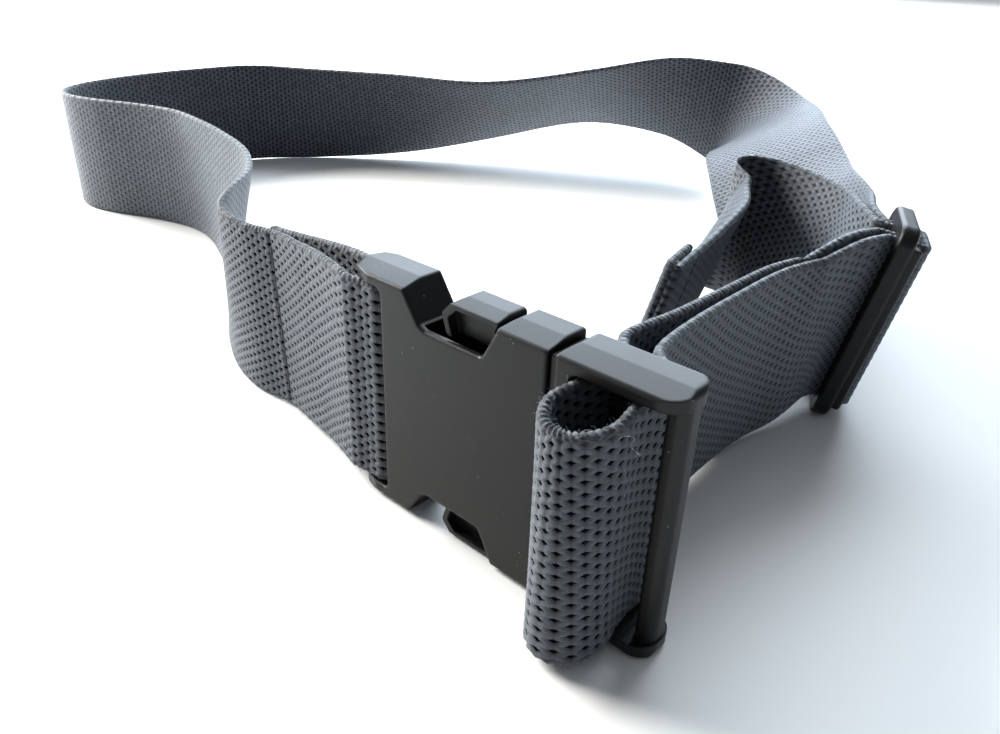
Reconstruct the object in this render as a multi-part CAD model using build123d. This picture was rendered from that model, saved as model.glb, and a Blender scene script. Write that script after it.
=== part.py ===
from build123d import *
import os
from math import cos, radians, sin

# A weight belt standing on its edge, closed by a side-release buckle. Millimetres, +Z up.
# The origin is on the underside of the socket's mouth bridge, in the middle of the flat it rests on.
# +X runs along the buckle from the socket to the plug, and the buckle's outer face looks along -Y.

# webbing
webbing_width = 50.0
webbing_thickness = 2.2
layer_gap = 0.3             # between two layers of webbing, and webbing and plastic

# buckle, both halves
buckle_thickness = 11.5
slot_clearance = 0.3        # past each edge of the webbing, in every slot
side_rail = 3.2             # above and below the webbing slots
slot_height = webbing_width + 2 * slot_clearance
buckle_height = slot_height + 2 * side_rail
roof_drop = 0.9             # the outer half of each long edge slopes by this
edge_round = 0.7
fit_clearance = 0.4         # between the plug's parts and the socket's walls

# socket
socket_length = 55.5
mouth_bridge = 11.5         # closed part of the side wall at the mouth
window_depth = 8.2
window_slope = 4.4
window_shoulder = 6.7       # from the button window to the webbing end's slot
face_wall = 1.4
side_wall = 2.6
end_bar_setback = 2.6       # of the bar that carries the webbing, from the end of the socket
end_bar_width = 4.4
end_bar_thickness = 5.1
end_slot_play = 1.0
end_slot = end_bar_setback + end_bar_width + layer_gap + webbing_thickness + end_slot_play
shell_end_wall = 4.0
window_end = socket_length - end_slot - window_shoulder  # from the mouth
cavity_depth = socket_length - end_slot - shell_end_wall

# plug
plug_gap = 1.7              # between the mouth and the plug's frame
plug_end_rail = 4.4
plug_end_recess = 3.0       # of the end rail's faces, under the rails above and below it
plug_nose = 5.0             # rounding of its end, seen from above
plug_root_wall = 3.2
plug_corner = 1.6
inner_slot = 6.2            # for the strap, on the socket's side of the ladder bar
outer_slot = 6.3
ladder_bar_width = 5.2
ladder_bar_thickness = 4.6
rib_pitch = 3.8
rib_height = 0.7
tongue_width = 13.0
tongue_play = 4.0           # from its nose to the end of the cavity
prong_thickness = 3.6
button_play = 10.3          # from the nose of the button to the end of its window
prong_pivot_radius = 1.7
pivot_clearance = 0.1
catch_play = 1.0            # between the button's shoulder and the mouth bridge
root_relief = 0.5           # the prong's arm stops this far before its pivot
button_pocket = 2.4         # depth of the hollows in the button's faces
button_rim = 1.6
plug_length = plug_root_wall + inner_slot + ladder_bar_width + outer_slot + plug_end_rail
tongue_length = cavity_depth - tongue_play
prong_nose = window_end - button_play

# tri-glide
glide_end_rail = 3.7
glide_outer_bar = 4.2
glide_slot = 6.2
glide_centre_bar = 5.2
glide_thickness = 4.6
glide_rib = 2.3             # raised rib along each outer bar
glide_corner = 5.0
glide_centre = (12.3, 123.5)
glide_heading = 113.5       # direction of the strap through it, from +X
glide_lean = 11.5           # its top leans away from the loop
wrap_reach = 16.0           # webbing wrapped through it ends this far from its middle
near_dip = 0.65             # slope of the wrapped webbing into the loop, towards the plug
far_dip = 0.3
glide_length = slot_height + 2 * glide_end_rail
glide_width = 2 * glide_outer_bar + 2 * glide_slot + glide_centre_bar

# stitching
stitch_length = 3.2
stitch_pitch = 4.2
thread = 0.7
thread_gap = 0.15           # between the thread and the face it lies on
sewn_length = 42.0          # from the end of the socket to the stitch line
return_flap = 3.5           # of the returned layer, past the stitch line
hem_length = 14.0
hem_stitch = 2.5            # from the hem's cut end to its stitch row
tail_bend = 0.1             # how far the tail's face bows under the hem's stitches
band_steps = 3              # ruled pieces between two stations of webbing

origin_x = mouth_bridge / 2
origin_y = buckle_thickness * 0.75
mid_y = buckle_thickness / 2
webbing_low = (buckle_height - webbing_width) / 2
strap = webbing_thickness
sewn_at = socket_length + sewn_length       # from the mouth
return_end = sewn_at + return_flap
os.makedirs("parts", exist_ok=True)


def block(x0, x1, y0, y1, z0, z1):
    size = (x1 - x0, y1 - y0, z1 - z0)
    return Pos((x0 + x1) / 2, (y0 + y1) / 2, (z0 + z1) / 2) * Box(*size)


def through(points, rounding, y0=0.0, y1=buckle_thickness):
    """A solid with this outline in X and Z, from y0 to y1, its marked corners rounded."""
    face = make_face(Polyline([(x, z) for x, z, _ in points], close=True))
    for x, z, share in points:
        if share:
            corner = face.vertices().sort_by_distance((x, z, 0))[0]
            face = fillet(corner, rounding * share)
    front = Plane(origin=(0, y0, 0), x_dir=(1, 0, 0), z_dir=(0, -1, 0))
    return extrude(front * face, amount=-(y1 - y0))


def roof(x0, x1):
    """The section of the buckle: a flat inner half, and an outer half that slopes to the face."""
    top, t = buckle_height, buckle_thickness
    outline = Polyline((0, roof_drop), (mid_y, 0), (t, 0), (t, top), (mid_y, top), (0, top - roof_drop), close=True)
    side = Plane(origin=(x0, 0, 0), x_dir=(0, 1, 0), z_dir=(1, 0, 0))
    return extrude(side * make_face(outline), amount=x1 - x0)


def soften(solid, radius):
    """Rounds the edges of the outer and inner faces."""
    faces = solid.faces().filter_by(Axis.Y).sort_by(Axis.Y)
    return fillet(faces[0].edges() + faces[-1].edges(), radius)


def mirrored(solid):
    return mirror(solid, Plane(origin=(0, 0, buckle_height / 2), z_dir=(0, 0, 1)))


def smooth(points, steps):
    """Points on a smooth line through the given ones."""
    ends = [points[0]] + list(points) + [points[-1]]
    line = []
    for a, b, c, d in zip(ends, ends[1:], ends[2:], ends[3:]):
        for k in range(steps):
            s = k / steps
            line.append([
                0.5 * (2 * q + (r - p) * s + (2 * p - 5 * q + 4 * r - u) * s**2 + (3 * q - p - 3 * r + u) * s**3)
                for p, q, r, u in zip(a, b, c, d)
            ])
    return line + [list(points[-1])]


def section(low, high, along):
    across = high - low
    out = along.cross(across).normalized() * (strap / 2)
    return Wire(Polyline(low - out, high - out, high + out, low + out, close=True).edges())


def sections(stations, start=None, end=None):
    """Sections of webbing at its stations, each a lower and an upper edge point.

    start and end are the directions in which the webbing leaves its first and last station.
    """
    line = smooth(stations, band_steps)
    low = [Vector(*p[:3]) for p in line]
    high = [Vector(*p[3:]) for p in line]
    last = len(line) - 1
    cuts = []
    for i in range(last + 1):
        before, after = max(i - 1, 0), min(i + 1, last)
        along = (low[after] + high[after]) - (low[before] + high[before])
        if i == 0 and start:
            along = Vector(*start)
        if i == last and end:
            along = Vector(*end)
        cuts.append(section(low[i], high[i], along))
    return cuts


def bands(stretches, start=None, end=None):
    """Lofted webbing, cut into named stretches that share their end sections."""
    stations = [stretches[0][1][0]]
    for _, points in stretches:
        stations += points[1:]
    cuts = sections(stations, start, end)
    solids, first = {}, 0
    for name, points in stretches:
        last = first + (len(points) - 1) * band_steps
        solids[name] = Solid.make_loft(cuts[first : last + 1], ruled=True)
        first = last
    return solids


def save(name, shape):
    export_step(Pos(origin_x, -origin_y, 0) * shape, f"parts/{name}.step")


# ---------------------------------------------------------------- socket
def socket_outline():
    end, bar_end = -socket_length, -(socket_length - end_slot)
    top, low = buckle_height, side_rail
    window = [
        (-mouth_bridge, top, 0.5),
        (-mouth_bridge - window_slope, top - window_depth, 1.0),
        (-window_end + window_slope + 2.4, top - window_depth, 1.0),
        (-window_end + window_slope + 0.6, top - window_depth + 0.8, 0),
        (-window_end, top, 0.5),
    ]
    upper = [(0, top, 0.5)] + window + [(end, top, 0), (end, top - low, 0), (bar_end, top - low, 1.0)]
    lower = [(x, buckle_height - z, share) for x, z, share in reversed(upper)]
    return upper + lower


def end_plan():
    """The socket's webbing end seen from above, where its two rails come to a blunt point."""
    t, end = buckle_thickness, -socket_length
    outline = Polyline(
        (0, 0), (end + 6.5, 0), (end + 1.8, 1.6), (end, mid_y), (end + 1.2, t - 1.7), (end + 5.5, t), (0, t),
        close=True,
    )
    return extrude(make_face(outline), amount=buckle_height)


def end_bar():
    x0 = -(socket_length - end_bar_setback)
    y0 = mid_y - end_bar_thickness / 2
    bar = block(x0, x0 + end_bar_width, y0, y0 + end_bar_thickness, side_rail - 1, buckle_height - side_rail + 1)
    return fillet(bar.edges().filter_by(Axis.Z), 1.6)


def socket_cavity():
    t = buckle_thickness
    hole = -(window_end - window_slope - 1.2)
    wide = block(hole, 1, face_wall, t - face_wall, side_wall, buckle_height - side_wall)
    centre = buckle_height / 2
    half = tongue_width / 2 + 3
    narrow = block(-cavity_depth, 0, face_wall, t - face_wall, centre - half, centre + half)
    return fillet(wide.edges().filter_by(Axis.X), 0.8) + narrow


def socket():
    shell = through(socket_outline(), 1.6) & roof(-socket_length, 0) & end_plan()
    return soften(shell, edge_round) + end_bar() - socket_cavity()


# ---------------------------------------------------------------- plug
def ladder_bar():
    x0 = plug_gap + plug_root_wall + inner_slot
    y0 = mid_y - ladder_bar_thickness / 2
    bar = block(x0, x0 + ladder_bar_width, y0, y0 + ladder_bar_thickness, side_rail - 1, buckle_height - side_rail + 1)
    bar = fillet(bar.edges().filter_by(Axis.Z), 1.2)
    count = int((slot_height - 4) / rib_pitch)
    low = buckle_height / 2 - (count - 1) * rib_pitch / 2
    for i in range(count):
        z = low + i * rib_pitch
        bar += block(x0 + 0.5, x0 + ladder_bar_width - 0.5, y0 - rib_height, y0 + 1, z - 0.75, z + 0.75)
    return bar


def pivot_place(x, z):
    return Pos(x, mid_y, z) * Rot(90, 0, 0)


pivot_x = plug_gap + 0.6
pivot_z = buckle_height - side_wall - fit_clearance - prong_thickness / 2
prong_low_y = face_wall + fit_clearance / 2
prong_width = buckle_thickness - 2 * prong_low_y


def pivot_seat():
    seat = Cylinder(prong_pivot_radius + pivot_clearance, prong_width + 2 * pivot_clearance)
    entry = block(-2, pivot_x, prong_low_y - 0.1, prong_low_y + prong_width + 0.1, pivot_z - 2.6, pivot_z + 2.2)
    return pivot_place(pivot_x, pivot_z) * seat + entry


def tongue():
    z0 = (buckle_height - tongue_width) / 2
    y0 = face_wall + fit_clearance
    plate = block(-tongue_length, plug_gap + 1, y0, buckle_thickness - y0, z0, z0 + tongue_width)
    nose = plate.edges().filter_by(Axis.Y).group_by(Axis.X)[0]
    plate = fillet(nose, 4.0)
    relief = block(-tongue_length + 8, -4, y0 - 1, y0 + 1.6, z0 + 3, z0 + tongue_width - 3)
    return plate - relief - mirror(relief, Plane(origin=(0, mid_y, 0), z_dir=(0, 1, 0)))


def plug_plan(x0, x1):
    """The plug's frame seen from above, its end rounded."""
    plan = Polyline((x0, 0), (x1, 0), (x1, buckle_thickness), (x0, buckle_thickness), close=True)
    body = extrude(make_face(plan), amount=buckle_height)
    ends = body.edges().filter_by(Axis.Z).group_by(Axis.X)[-1]
    return fillet(ends, plug_nose)


def end_recess(x1):
    """The space of the end rail, cleared for a thinner one."""
    return block(x1 - plug_end_rail - 1, x1 + 1, -1, buckle_thickness + 1, side_rail, buckle_height - side_rail)


def end_rail(x1):
    y0, low = plug_end_recess, side_rail - 1
    rail = block(x1 - plug_end_rail, x1 - 0.3, y0, buckle_thickness - y0, low, buckle_height - low)
    upright = rail.edges().filter_by(Axis.Z).group_by(Axis.X)
    return fillet(fillet(upright[-1], 2.0).edges().filter_by(Axis.Z).group_by(Axis.X)[0], 0.8)


def plug_frame():
    x0, x1 = plug_gap, plug_gap + plug_length
    top = buckle_height
    outline = [(x0, 0, 1.0), (x0, top, 1.0), (x1, top, 1.0), (x1, 0, 1.0)]
    frame = soften(through(outline, plug_corner) & roof(x0, x1), edge_round) & plug_plan(x0, x1)
    opening = through(
        [
            (x0 + plug_root_wall, side_rail, 1.0),
            (x0 + plug_root_wall, top - side_rail, 1.0),
            (x1 - plug_end_rail, top - side_rail, 1.0),
            (x1 - plug_end_rail, side_rail, 1.0),
        ],
        plug_corner,
        -1,
        buckle_thickness + 1,
    )
    inset = 0.9
    neck = block(0.3, x0 + 0.5, inset, buckle_thickness - inset, 1.6, top - 1.6)
    frame = frame - opening - end_recess(x1) + end_rail(x1)
    return frame + neck + ladder_bar() + tongue() - pivot_seat() - mirrored(pivot_seat())


def prong_outline():
    top = buckle_height
    arm_top, arm_low = pivot_z + prong_thickness / 2, pivot_z - prong_thickness / 2
    shoulder = -mouth_bridge - catch_play
    root = pivot_x - root_relief
    catch = shoulder - window_slope * (top - arm_top) / window_depth
    return [
        (root, arm_low, 0),
        (root, arm_top, 0),
        (catch, arm_top, 0),
        (shoulder, top, 1.0),
        (-prong_nose + 3.0, top, 1.6),
        (-prong_nose, top - 3.2, 1.2),
        (-prong_nose + 1.5, top - 7.6, 1.0),
        (shoulder - 3.0, top - 7.6, 1.0),
        (shoulder - 1.0, arm_low, 0),
    ]


def button_hollow(y0, y1):
    """Follows the button's outline inside its rim, open below."""
    top, rim, nose = buckle_height, button_rim, -prong_nose
    end = -mouth_bridge - catch_play - rim
    points = [
        (nose + 3.0 + 0.6 * rim, top - rim, 1.0),
        (nose + rim, top - 3.8, 1.0),
        (nose + 1.5 + rim, top - 8.4, 0),
        (end, top - 8.4, 0),
        (end, top - rim, 1.0),
    ]
    return through(points, 0.8, y0, y1)


def upper_prong():
    low, high = prong_low_y, prong_low_y + prong_width
    arm = through(prong_outline(), 1.0, low, high) & roof(-prong_nose - 1, pivot_x + 1)
    knuckle = pivot_place(pivot_x, pivot_z) * Cylinder(prong_pivot_radius, prong_width)
    return arm + knuckle - button_hollow(-1, low + button_pocket) - button_hollow(high - button_pocket, high + 1)


# ---------------------------------------------------------------- tri-glide
glide_middle = (glide_length * cos(radians(glide_lean)) + glide_thickness * sin(radians(glide_lean))) / 2
glide_plane = Plane(
    origin=(*glide_centre, glide_middle),
    x_dir=(cos(radians(glide_heading)), sin(radians(glide_heading)), 0),
    z_dir=(
        sin(radians(glide_heading)) * cos(radians(glide_lean)),
        -cos(radians(glide_heading)) * cos(radians(glide_lean)),
        -sin(radians(glide_lean)),
    ),
)


def tri_glide():
    """Local frame: x along the strap away from the plug, y up along the bars, z out of the loop."""
    body = extrude(RectangleRounded(glide_width, glide_length, glide_corner), glide_thickness / 2, both=True)
    body = fillet(body.faces().filter_by(Axis.Z).edges(), 1.0)
    rib_x = glide_width / 2 - glide_outer_bar / 2 - 0.3
    for side in (-1, 1):
        rib = Box(glide_outer_bar - 1.0, glide_length - 9, glide_rib + 1)
        rib = fillet(rib.faces().sort_by(Axis.Z)[-1].edges(), 1.0)
        body += Pos(side * rib_x, 0, glide_thickness / 2 + glide_rib / 2 - 0.5) * rib
    slot_x = glide_centre_bar / 2 + glide_slot / 2
    for side in (-1, 1):
        body -= Pos(side * slot_x, 0, 0) * Box(glide_slot, slot_height, 4 * glide_thickness)
    return glide_plane * body


def wrap_path(layer):
    """A layer's way through the tri-glide in its frame, past the centre bar's outer side."""
    step = strap + layer_gap
    rise = glide_thickness / 2 + layer_gap + strap / 2
    over = rise + layer * step
    under = -rise - (1 - layer) * step
    turn = glide_centre_bar / 2 + layer_gap + strap / 2 + layer * (step + 0.2)
    leg = wrap_reach - turn
    return [
        (-wrap_reach, under - near_dip * leg), (-turn, under), (-turn, over),
        (turn, over), (turn, under), (wrap_reach, under - far_dip * leg),
    ]


def glide_wrap(layer):
    line = FilletPolyline(*wrap_path(layer), radius=strap / 2 + 0.25)
    return glide_plane * Rot(90, 0, 0) * extrude(trace(line, strap), webbing_width / 2, both=True)


def wrap_end(layer, side):
    """Lower and upper edge points of a wrap's end, and its direction."""
    path = wrap_path(layer)
    tip, inner = (path[0], path[1]) if side < 0 else (path[-1], path[-2])
    at = [glide_plane.from_local_coords(Vector(tip[0], y, tip[1])) for y in (-webbing_width / 2, webbing_width / 2)]
    away = (tip[0] - inner[0], tip[1] - inner[1])
    along = glide_plane.x_dir * away[0] + glide_plane.z_dir * away[1]
    return (*at[0], *at[1]), along


# ---------------------------------------------------------------- webbing
# Stations of webbing: lower edge x, y, z and upper edge x, y, z.
wall_y = mid_y - end_bar_thickness / 2 - layer_gap - strap / 2
bar_x = -(socket_length - end_bar_setback) + end_bar_width
wrap_end_x = -socket_length - 6.5
outer_y, inner_y = 3.6, 11.6
sewn_y = 10.0
two_layers = strap + layer_gap
drawn_width = 50.0


def socket_wrap():
    y1 = buckle_thickness - wall_y
    turn = bar_x + layer_gap + strap / 2
    near = wrap_end_x + 2.5
    path = [
        (wrap_end_x, outer_y), (near, outer_y), (bar_x - 5.0, wall_y), (turn, wall_y),
        (turn, y1), (bar_x - 5.0, y1), (near, inner_y), (wrap_end_x, inner_y),
    ]
    line = FilletPolyline(*path, radius=2.0)
    return Pos(0, 0, webbing_low) * extrude(trace(line, strap), webbing_width)


def on_edge(points):
    """Stations of webbing that stands upright, from x, y and the height of its lower edge."""
    return [(x, y, z, x, y, z + webbing_width) for x, y, z in points]


def leaning(points):
    """Stations whose upper edge point is given for webbing of the drawn width."""
    grow = webbing_width / drawn_width
    return [(*p[:3], *(a + (b - a) * grow for a, b in zip(p[:3], p[3:]))) for p in points]


low = webbing_low
sewn_outer = on_edge([
    (wrap_end_x, outer_y, low), (wrap_end_x - 10, 5.4, 2.8), (wrap_end_x - 22, 7.8, 1.6), (-sewn_at, sewn_y, 0.6),
])
sewn_inner = on_edge([
    (wrap_end_x, inner_y, low), (wrap_end_x - 10, 12.6, 2.8), (wrap_end_x - 22, 12.9, 1.6),
    (-sewn_at, sewn_y + two_layers, 0.6), (-return_end, sewn_y + two_layers, 0.4),
])
left_run = [
    *on_edge([(-sewn_at, sewn_y, 0.6), (-112, 9, 0), (-127, 12, 0)]),
    *leaning([
        (-145, 20, 0.2, -142, 24, 49.8),
        (-165, 32, 0.3, -159, 41, 49.4),
        (-188, 46, 0.3, -182, 54, 49.4),
        (-213, 57, 0.2, -210, 61, 49.8),
    ]),
    *on_edge([(-236, 65, 0), (-255, 66, 0), (-274, 61, 0), (-297, 51, 0), (-314, 48, 0)]),
]
left_turn = on_edge([(-314, 48, 0), (-328, 54, 0), (-338, 72, 0), (-343, 100, 0), (-342, 128, 0.1), (-335, 154, 0.3)])
far_run = leaning([
    (-335, 154, 0.3, -335, 154, 50.3),
    (-316, 182, 0.8, -311, 176, 49),
    (-286, 214, 4, -273, 200, 49),
    (-250, 250, 13, -228, 224, 49),
    (-210, 284, 24, -184, 257, 57),
])
lifted_corner = leaning([
    (-210, 284, 24, -184, 257, 57),
    (-170, 302, 22, -150, 284, 64),
    (-139, 298, 18, -118, 297, 60),
    (-122, 274, 23, -88, 291, 55),
    (-107, 245, 31, -67, 267, 55),
])
side_run = leaning([
    (-107, 245, 31, -67, 267, 55),
    (-94, 221, 35, -54, 243, 54),
    (-83, 205, 33, -42, 226, 52),
    (-72, 191, 27, -32, 212, 50),
])
near_end = {layer: wrap_end(layer, -1) for layer in (0, 1)}
far_end = {layer: wrap_end(layer, 1) for layer in (0, 1)}
side_run_end = [
    *leaning([(-72, 191, 27, -32, 212, 50), (-58, 176, 18, -20, 192, 50), (-32, 157, 9, -5, 166, 51)]),
    far_end[1][0],
]
tail_start = [far_end[0][0], *leaning([(-20, 142, 7, -6, 150, 53), (-38, 149, 9, -18, 160, 53)])]
tail_run = leaning([
    (-38, 149, 9, -18, 160, 53),
    (-50, 151, 9, -31, 163, 54),
    (-58, 145, 8, -38, 158, 54),
    (-54, 132, 6, -37, 145, 53),
    (-40, 114, 4, -27, 124, 52),
    (-31, 87, 3, -20, 97, 51),
])
tail_end = leaning([(-25.5, 61, 2, -15, 71, 50)])[0]
left_slot = plug_gap + plug_root_wall + inner_slot / 2
right_slot = left_slot + inner_slot + ladder_bar_width
back_y = buckle_thickness + 1.5
adjuster_roll = on_edge([
    (left_slot, back_y, low), (left_slot, mid_y, low), (left_slot - 1.2, 0, low), (left_slot - 3, -5, low - 1),
    (left_slot, -11, low - 2), (left_slot + 6, -13, low - 2), (right_slot - 0.5, -10.5, low - 2),
    (right_slot + 1.2, -5, low - 1), (right_slot + 0.6, 0, low), (right_slot, mid_y, low), (right_slot, back_y, low),
])
outer_strap = [
    *on_edge([(right_slot, back_y, low), (right_slot - 5.5, back_y + 3.5, low)]),
    *leaning([
        (9.5, 22, 3.2, 9.5, 22, 53.2), (4, 38, 2.5, 7, 38, 52.5), (2, 57, 2, 6, 57, 52),
        (2, 77, 2.5, 7, 78, 52.5), (4.5, 93, 3.5, 11.5, 95, 53),
    ]),
    near_end[1][0],
]
inner_strap = [
    *on_edge([(left_slot, back_y, low), (left_slot - 3.5, back_y + 4, low)]),
    *leaning([
        (1, 23, 3.2, 1.5, 23, 53.2), (-1.5, 38, 2.5, 2, 38, 52.5), (-2, 57, 2, 2.2, 57, 52),
        (-1.5, 77, 2.5, 3.6, 78, 52.5), (1, 92, 3.5, 8, 94, 53),
    ]),
    near_end[0][0],
]


def webbing():
    solids = bands([("sewn_inner_layer", sewn_inner)], start=(-1, 0, 0))
    solids |= bands(
        [
            ("sewn_outer_layer", sewn_outer), ("left_run", left_run), ("left_turn", left_turn),
            ("far_run", far_run), ("lifted_corner", lifted_corner), ("side_run", side_run),
            ("side_run_end", side_run_end),
        ],
        start=(-1, 0, 0),
        end=-far_end[1][1],
    )
    solids |= bands(
        [("tail_start", tail_start), ("tail_run", tail_run), ("tail_end", [tail_run[-1], tail_end])],
        start=far_end[0][1],
    )
    solids |= bands([("adjuster_roll", adjuster_roll)], start=(0, -1, 0), end=(0, 1, 0))
    solids |= bands([("outer_strap", outer_strap)], start=(0, 1, 0), end=-near_end[1][1])
    solids |= bands([("inner_strap", inner_strap)], start=(0, 1, 0), end=-near_end[0][1])
    return solids


# ---------------------------------------------------------------- sewing
def tail_face():
    """The plane on the tail's outer face at its end: x back along the tail, y up, z out."""
    low_end, high_end = Vector(*tail_end[:3]), Vector(*tail_end[3:])
    before = (Vector(*tail_run[-1][:3]) + Vector(*tail_run[-1][3:])) / 2
    middle = (low_end + high_end) / 2
    up = (high_end - low_end).normalized()
    back = before - middle
    out = back.cross(up).normalized()
    return Plane(origin=middle, x_dir=up.cross(out), z_dir=out)


def tail_hem():
    flap = Box(hem_length, webbing_width, strap)
    return tail_face() * Pos(hem_length / 2, 0, -strap - layer_gap) * flap


def stitches(plane, play):
    """A row of stitches along the plane's y axis, on both faces of two layers of webbing around the plane."""
    lift = two_layers / 2 + strap / 2 + play + thread / 2
    count = int((webbing_width - 3) / stitch_pitch)
    first = -(count - 1) * stitch_pitch / 2
    one = Box(thread, stitch_length, thread)
    return [plane * Pos(0, first + i * stitch_pitch, side * lift) * one for i in range(count) for side in (-1, 1)]


def sewn_stitching():
    middle = (-sewn_at + 1, sewn_y + two_layers / 2 - 0.1, webbing_width / 2 + 0.7)
    row = Plane(origin=middle, x_dir=(1, 0, 0), z_dir=(0, -1, 0))
    return Compound(children=stitches(row, thread_gap))


def hem_stitching():
    row = tail_face() * Pos(hem_length - hem_stitch, 0, -two_layers / 2)
    return Compound(children=stitches(row, thread_gap + tail_bend))


def main():
    save("socket", socket())
    save("plug_frame", plug_frame())
    save("upper_prong", upper_prong())
    save("lower_prong", mirrored(upper_prong()))
    save("tri_glide", tri_glide())
    save("glide_wrap_outer", glide_wrap(1))
    save("glide_wrap_inner", glide_wrap(0))
    save("socket_wrap", socket_wrap())
    for name, solid in webbing().items():
        save(name, solid)
    save("tail_hem", tail_hem())
    save("sewn_stitching", sewn_stitching())
    save("hem_stitching", hem_stitching())


main()
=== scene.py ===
import math
import bpy
import numpy as np
from mathutils import Matrix, Vector


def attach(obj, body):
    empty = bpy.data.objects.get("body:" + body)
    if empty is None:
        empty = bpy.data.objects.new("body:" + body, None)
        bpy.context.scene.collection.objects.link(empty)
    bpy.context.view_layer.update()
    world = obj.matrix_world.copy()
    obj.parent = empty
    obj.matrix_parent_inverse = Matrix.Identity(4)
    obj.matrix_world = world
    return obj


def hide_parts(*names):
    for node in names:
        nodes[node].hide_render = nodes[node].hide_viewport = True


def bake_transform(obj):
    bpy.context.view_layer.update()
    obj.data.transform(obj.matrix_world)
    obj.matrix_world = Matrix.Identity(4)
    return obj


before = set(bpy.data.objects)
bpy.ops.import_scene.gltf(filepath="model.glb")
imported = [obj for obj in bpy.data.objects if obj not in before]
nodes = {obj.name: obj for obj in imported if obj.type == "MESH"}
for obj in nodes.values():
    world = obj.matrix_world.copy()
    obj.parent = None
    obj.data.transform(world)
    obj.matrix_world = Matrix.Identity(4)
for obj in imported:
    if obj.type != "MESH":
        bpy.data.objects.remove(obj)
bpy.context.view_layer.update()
print("frame loaded:", len(nodes), "nodes")

mm = 0.001
shift = np.array([5.75, -8.625, 0.0])  # from the buckle's own corner to the frame's origin, in mm
buckle = {"thickness": 11.5, "leftSlotX": 8.0, "rightSlotX": 19.4}
webbing = {
    "width": 50.0,
    "halfBody": 0.85,  # to the bottom of the weave
    "relief": 0.38,  # height of a lobe over that
    "pick": 1.44,  # one lobe, along the belt
    "row": 50.0 / 40,  # one lobe, across it
    "meanHeight": 0.6,  # of a lobe, where the mesh has no relief
    "edgeRadius": 1.0,
}


# shared node groups

def newGroup(name, inputs, outputs):
    tree = bpy.data.node_groups.new(name, "ShaderNodeTree")
    for label, kind, value in inputs:
        made = tree.interface.new_socket(label, in_out="INPUT", socket_type=kind)
        if value is not None:
            made.default_value = value
    for label, kind in outputs:
        tree.interface.new_socket(label, in_out="OUTPUT", socket_type=kind)
    return tree, tree.nodes.new("NodeGroupInput").outputs, tree.nodes.new("NodeGroupOutput").inputs


def calc(tree, operation, a, b=None, c=None):
    # one maths node; each value is a number or a socket
    node = tree.nodes.new("ShaderNodeMath")
    node.operation = operation
    for slot, value in zip(node.inputs, (a, b, c)):
        if value is None:
            continue
        if isinstance(value, bpy.types.NodeSocket):
            tree.links.new(value, slot)
        else:
            slot.default_value = value
    return node.outputs[0]


def mixColour(tree, share, a, b, blend="MIX"):
    node = tree.nodes.new("ShaderNodeMix")
    node.data_type = "RGBA"
    node.blend_type = blend
    for slot, value in zip((node.inputs[0], node.inputs[6], node.inputs[7]), (share, a, b)):
        if isinstance(value, bpy.types.NodeSocket):
            tree.links.new(value, slot)
        else:
            slot.default_value = value if not isinstance(value, tuple) else (*value, 1)
    return node.outputs[2]


def noise(tree, vector, scale, detail=2.0, rough=0.5, kind="ShaderNodeTexNoise"):
    node = tree.nodes.new(kind)
    node.inputs["Scale"].default_value = scale
    if kind == "ShaderNodeTexNoise":
        node.inputs["Detail"].default_value = detail
        node.inputs["Roughness"].default_value = rough
    if vector is not None:
        tree.links.new(vector, node.inputs["Vector"])
    return node


def stretched(tree, vector, scale):
    node = tree.nodes.new("ShaderNodeMapping")
    node.inputs["Scale"].default_value = scale
    tree.links.new(vector, node.inputs["Vector"])
    return node.outputs[0]


yarn = {
    "repeat": 3.0,  # picks from one pit to the next
    "stagger": 1.5,  # picks that each row is moved along from the last
    "phase": 0.5,
    "reach": 1.46,  # half a float, in picks
    "blunt": 5.0,  # how squarely a float ends
    "crease": 0.4,  # how far its middle is drawn in
    "creaseSharp": 30.0,
    "width": 0.63,  # half a yarn, in rows
    "peak": 0.45,  # each float is bent into a chevron, with its middle this far up, in rows
}


def makeYarnGroup():
    # one warp yarn: it floats over two picks as a pair of lobes, then dips under one and leaves a pit
    tree, given, out = newGroup(
        "warpYarn",
        [(label, "NodeSocketFloat", None) for label in ("Picks", "Across", "Row")],
        [("Height", "NodeSocketFloat")],
    )
    odd = calc(tree, "FLOORED_MODULO", given["Row"], 2.0)
    moved = calc(tree, "MULTIPLY_ADD", odd, yarn["stagger"], given["Picks"])
    repeat = calc(tree, "FLOORED_MODULO", calc(tree, "ADD", moved, yarn["phase"]), yarn["repeat"])
    place = calc(tree, "SUBTRACT", repeat, yarn["repeat"] / 2)
    away = calc(tree, "ABSOLUTE", place)
    side = calc(tree, "DIVIDE", away, yarn["reach"])
    fall = calc(tree, "SUBTRACT", 1.0, calc(tree, "POWER", side, yarn["blunt"]))
    top = calc(tree, "SQRT", calc(tree, "MAXIMUM", fall, 0.0))
    near = calc(tree, "MULTIPLY", calc(tree, "MULTIPLY", place, place), -yarn["creaseSharp"])
    dip = calc(tree, "MULTIPLY_ADD", calc(tree, "EXPONENT", near), -yarn["crease"], 1.0)
    top = calc(tree, "MULTIPLY", top, dip)
    bend = calc(tree, "MULTIPLY_ADD", away, -2 * yarn["peak"] / yarn["reach"], yarn["peak"])
    off = calc(tree, "DIVIDE", calc(tree, "SUBTRACT", given["Across"], bend), yarn["width"])
    oval = calc(tree, "SUBTRACT", 1.0, calc(tree, "MULTIPLY", off, off))
    body = calc(tree, "SQRT", calc(tree, "MAXIMUM", oval, 0.0))
    tree.links.new(calc(tree, "MULTIPLY", top, body), out["Height"])
    return tree


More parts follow.
